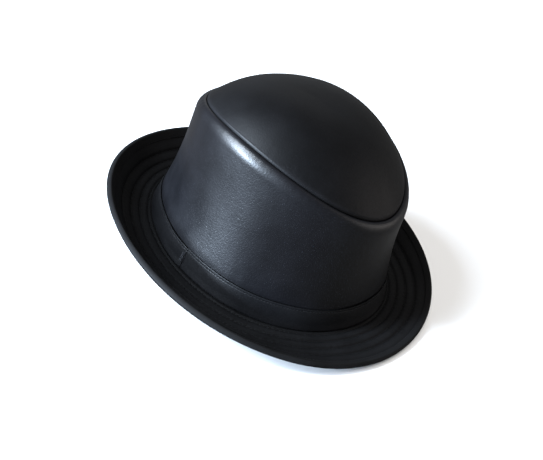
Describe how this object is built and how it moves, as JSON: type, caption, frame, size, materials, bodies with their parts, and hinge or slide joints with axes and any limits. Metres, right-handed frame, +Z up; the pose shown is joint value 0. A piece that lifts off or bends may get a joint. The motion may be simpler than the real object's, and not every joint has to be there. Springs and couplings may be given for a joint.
{
  "type": "fedora hat",
  "caption": "Black leather fedora with a smooth domed crown sewn to a tapered wall, a plain leather band, and an upturned brim with stitched rows and a bound edge.",
  "frame": {"origin": "middle of the head opening, in the flat underside of the brim that the hat stands on", "axes": "+Z up through the crown, -Y to the front of the hat, +X to the wearer's left"},
  "size_m": [0.262, 0.2765, 0.1338],
  "materials": {
    "crown_leather": "smooth black leather, soft sheen",
    "brim_leather": "matt black leather",
    "band_leather": "smooth black leather",
    "binding_leather": "smooth black leather, slightly glossy",
    "sweatband_leather": "soft black leather",
    "lining": "black satin",
    "stiffener": "off-white stiffening felt",
    "tape": "black woven tape",
    "thread": "black polyester thread",
    "label": "dark grey woven satin, blank"
  },
  "bodies": {
    "root": {"crown_wall": "crown_leather", "crown_tip": "crown_leather", "tip_interlining": "stiffener", "wall_interlining": "stiffener", "brim_interlining": "stiffener", "tip_lining": "lining", "wall_lining": "lining", "lining_label": "label", "size_tab": "label", "tip_seam_tape": "tape", "back_seam_tape": "tape", "head_seam_tape": "tape", "tip_seam_thread": "thread", "sweatband_thread": "thread", "band_tack": "thread", "band_edge_thread": "thread", "binding_thread": "thread", "brim_row_thread_1": "thread", "brim_row_thread_2": "thread", "brim_row_thread_3": "thread", "brim_row_thread_4": "thread", "sweatband": "sweatband_leather", "hat_band": "band_leather", "brim_upper": "brim_leather", "brim_lower": "brim_leather", "brim_binding": "binding_leather"}
  },
  "joints": []
}
